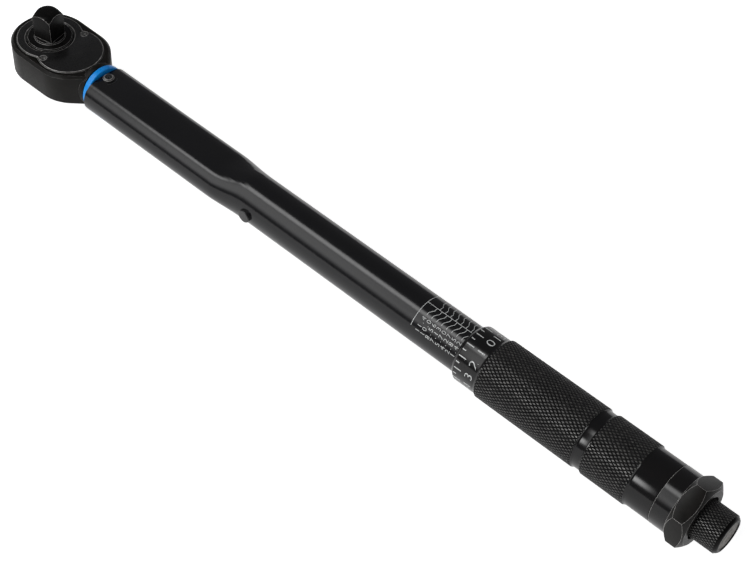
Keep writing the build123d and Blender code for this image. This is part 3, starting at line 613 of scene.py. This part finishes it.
class WRENCH_OT_tube_scale(WrenchOperator, bpy.types.Operator):
    """Print the scale and its numerals on the tube"""

    bl_idname = "wrench.tube_scale"
    bl_label = "Tube scale"

    def make(self, sizes, colours):
        width = sizes.line_width / MM
        radius = TUBE_RADIUS
        top, front = 90.0, 225.0
        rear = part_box("grip_sleeve")[0].x / MM + 0.1
        far_rear, far_pitch = rear - 0.9, 2.62
        lines = bmesh.new()
        scale_line(lines, front, 26.0, radius, width, [(128.0, 0.0)])
        straight_line(lines, front, rear - 0.2, top, radius, width)
        for turn_number in range(8):
            scale_line(lines, rear - turn_number * THREAD_PITCH, top, radius, width,
                       [(9.0, 0.0), (11.0, -1.4), (6.6, 0.0)])
        for turn_number in range(7):
            scale_line(lines, far_rear - turn_number * far_pitch, top, radius, width,
                       [(-11.0, 0.0), (-11.0, -1.3), (-12.0, 0.0)])
        finish_piece(lines, "scale_lines", "tube", (self.finishes["marking"],))
        figures = bmesh.new()
        near = ("1.42", "2.85", "4.27", "5.70", "7.13", "8.56", "10.0", "11.4")
        height = sizes.numeral_height / MM
        for turn_number, text in enumerate(near):
            x = rear - turn_number * THREAD_PITCH - 1.4
            numeral(figures, text, x + height / 2, 121.5, radius, height, "RIGHT")
        for turn_number in range(7):
            x = far_rear - turn_number * far_pitch - 1.3
            numeral(figures, str(21 + 14 * turn_number), x + height / 2, 53.0, radius, height,
                    "LEFT")
        finish_piece(figures, "scale_numerals", "tube", (self.finishes["marking"],))


class WRENCH_OT_thimble_scale(WrenchOperator, bpy.types.Operator):
    """Print the divisions and digits on the thimble"""

    bl_idname = "wrench.thimble_scale"
    bl_label = "Thimble scale"

    def make(self, sizes, colours):
        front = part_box("grip_sleeve")[0].x / MM
        radius = GRIP_BORE + THIMBLE_WALL
        divisions, width, start = 14, 0.38, front + 1.9
        marks = bmesh.new()
        for division in range(divisions):
            angle = 90.0 + division * 360.0 / divisions
            straight_line(marks, start, start + 3.5, angle, radius, width)
            straight_line(marks, start, start + 1.6, angle + 180.0 / divisions, radius, width)
            numeral(marks, str(division), front + 10.8, angle, radius,
                    sizes.digit_height / MM, "CENTER", spacing=1.0, broad=1.25)
        finish_piece(marks, "thimble_marks", "handle",
                     (self.finishes["marking"],))


# name, degrees up from the far side, x, distance, length, breadth and strength of each lamp
LAMPS = (
    ("soft_box", 138.0, -0.8, 1.6, 1.5, 2.1, 1.9),
    ("front_strip", 108.0, -0.62, 1.5, 1.35, 0.62, 4.8),
    ("handle_strip", 150.0, 0.08, 1.5, 0.9, 0.66, 9.0),
)
# brightness of the floor and of the room, in what mirrors them and to the camera
FLOOR_GLOW = (0.42, 0.86)
ROOM_GLOW = ((0.15, 0.15, 0.155, 1.0), (0.95, 0.95, 0.95, 1.0))
FLOOR_REACH, FLOOR_MIDDLE = 12.0, 0.18

CAMERA_PLACE = (0.4857, -0.34435, 0.49514)
CAMERA_LENS = 80.63      # millimetres, on a sensor 36 mm wide
CAMERA_TURN, CAMERA_LIFT, CAMERA_ROLL = 39.912, 47.746, 3.878


def fade_edges(lamp):
    """Let a lamp's light die away towards its edges, as behind a sheet of diffuser.

    It is full over the middle quarter of each side, and gone at the edge.
    """
    lamp.use_nodes = True
    lamp.node_tree.nodes.clear()
    across = add_node(lamp, "ShaderNodeNewGeometry").outputs["Parametric"]
    sides = add_node(lamp, "ShaderNodeSeparateXYZ", {"Vector": across})
    share = []
    for side in ("X", "Y"):
        away = add_node(lamp, "ShaderNodeMath", {
            0: sides.outputs[side], 1: 0.5}, operation="SUBTRACT")
        off = add_node(lamp, "ShaderNodeMath", {0: away.outputs["Value"]}, operation="ABSOLUTE")
        share.append(add_node(lamp, "ShaderNodeMapRange", {
            "Value": off.outputs["Value"], "From Min": 0.5, "From Max": 0.12},
            interpolation_type="SMOOTHSTEP").outputs["Result"])
    both = add_node(lamp, "ShaderNodeMath", {0: share[0], 1: share[1]}, operation="MULTIPLY")
    glow = add_node(lamp, "ShaderNodeEmission", {"Strength": both.outputs["Value"]})
    add_node(lamp, "ShaderNodeOutputLight", {"Surface": glow.outputs["Emission"]})


class WRENCH_OT_stage(WrenchOperator, bpy.types.Operator):
    """Set the floor, the lights and the camera"""

    bl_idname = "wrench.stage"
    bl_label = "Stage"

    def make(self, sizes, colours):
        bpy.context.scene.view_settings.view_transform = "Standard"
        self.lay_floor()
        self.light_room()
        self.hang_lamps()
        self.place_camera()

    def lay_floor(self):
        """Lay pale, evenly lit paper, half as bright in the gloss that mirrors it."""
        paper = bpy.data.materials.new("pale_paper")
        paper.use_nodes = True
        paper.node_tree.nodes.clear()
        glow = add_node(paper, "ShaderNodeMapRange", {
            "Value": add_node(paper, "ShaderNodeLightPath").outputs["Is Camera Ray"],
            "To Min": FLOOR_GLOW[0], "To Max": FLOOR_GLOW[1]})
        shaded = add_node(paper, "ShaderNodeBsdfPrincipled", {
            "Base Color": colour("#f4f4f4"), "Roughness": 0.9,
            "Emission Color": (1.0, 1.0, 1.0, 1.0), "Emission Strength": glow.outputs["Result"]})
        add_node(paper, "ShaderNodeOutputMaterial", {"Surface": shaded.outputs["BSDF"]})
        sheet = bmesh.new()
        bmesh.ops.create_grid(sheet, x_segments=4, y_segments=4, size=FLOOR_REACH)
        bmesh.ops.translate(sheet, verts=sheet.verts, vec=(FLOOR_MIDDLE, 0, cad_box[0][2]))
        mesh = bpy.data.meshes.new("floor")
        sheet.to_mesh(mesh)
        sheet.free()
        mesh.materials.append(paper)
        floor = bpy.data.objects.new("floor", mesh)
        bpy.context.scene.collection.objects.link(floor)

    def light_room(self):
        """Keep the room dim but for its lamps, and pale behind the floor's edge."""
        world = bpy.data.worlds.new("studio")
        bpy.context.scene.world = world
        world.use_nodes = True
        world.node_tree.nodes.clear()
        seen = add_node(world, "ShaderNodeLightPath").outputs["Is Camera Ray"]
        tone = add_node(world, "ShaderNodeMix", {
            0: seen, 6: ROOM_GLOW[0], 7: ROOM_GLOW[1]}, data_type="RGBA")
        backdrop = add_node(world, "ShaderNodeBackground", {"Color": tone.outputs[2]})
        add_node(world, "ShaderNodeOutputWorld", {"Surface": backdrop.outputs["Background"]})

    def hang_lamps(self):
        """Hang each lamp level with the tube, facing it."""
        for name, angle, x, distance, length, breadth, strength in LAMPS:
            lamp = bpy.data.lights.new(name, "AREA")
            lamp.shape = "RECTANGLE"
            lamp.size, lamp.size_y = length, breadth
            lamp.energy = strength * pi * length * breadth
            fade_edges(lamp)
            holder = bpy.data.objects.new(name, lamp)
            bpy.context.scene.collection.objects.link(holder)
            up = radians(angle)
            place = Vector((x, distance * cos(up), distance * sin(up)))
            aim = (Vector((x, 0, 0)) - place).normalized()
            across = Vector(TUBE_AXIS)
            holder.matrix_world = Matrix.Translation(place) @ Matrix(
                (across, aim.cross(across) * -1, aim * -1)).transposed().to_4x4()

    def place_camera(self):
        """Place the camera: turned about the vertical, lifted, then rolled."""
        lens = bpy.data.cameras.new("camera")
        lens.lens = CAMERA_LENS
        lens.sensor_width = 36.0
        lens.clip_start = 0.01
        view = bpy.data.objects.new("camera", lens)
        bpy.context.scene.collection.objects.link(view)
        turned, lift, roll = (radians(a) for a in (CAMERA_TURN, CAMERA_LIFT, CAMERA_ROLL))
        right = Vector((cos(turned), sin(turned), 0))
        back = Vector((sin(turned) * cos(lift), -cos(turned) * cos(lift), sin(lift)))
        top = Vector((-sin(turned) * sin(lift), cos(turned) * sin(lift), cos(lift)))
        leaned = right * cos(roll) + top * sin(roll)
        upright = top * cos(roll) - right * sin(roll)
        view.matrix_world = Matrix.Translation(CAMERA_PLACE) @ Matrix(
            (leaned, upright, back)).transposed().to_4x4()
        bpy.context.scene.camera = view


OPERATORS = (
    WRENCH_OT_finishes,
    WRENCH_OT_head,
    WRENCH_OT_stake_marks,
    WRENCH_OT_end_nut,
    WRENCH_OT_grip,
    WRENCH_OT_lock_knob,
    WRENCH_OT_tube_scale,
    WRENCH_OT_thimble_scale,
    WRENCH_OT_stage,
)


class WRENCH_PT_panel(bpy.types.Panel):
    """The wrench's operators, in the order they run"""

    bl_idname = "WRENCH_PT_panel"
    bl_label = "Torque wrench"
    bl_space_type = "VIEW_3D"
    bl_region_type = "UI"
    bl_category = "Torque wrench"

    def draw(self, context):
        for operator in OPERATORS:
            self.layout.operator(operator.bl_idname)


CLASSES = (WrenchSizes, WrenchColours, *OPERATORS, WRENCH_PT_panel)


def register():
    """Register the classes and hang the settings on the scene."""
    for item in CLASSES:
        bpy.utils.register_class(item)
    bpy.types.Scene.wrench_sizes = bpy.props.PointerProperty(type=WrenchSizes)
    bpy.types.Scene.wrench_colours = bpy.props.PointerProperty(type=WrenchColours)


def unregister():
    """Undo register."""
    del bpy.types.Scene.wrench_colours
    del bpy.types.Scene.wrench_sizes
    for item in reversed(CLASSES):
        bpy.utils.unregister_class(item)


def main():
    """Build every piece and the stage."""
    register()
    for operator in OPERATORS:
        group, name = operator.bl_idname.split(".")
        getattr(getattr(bpy.ops, group), name)()


if __name__ == "__main__":
    main()
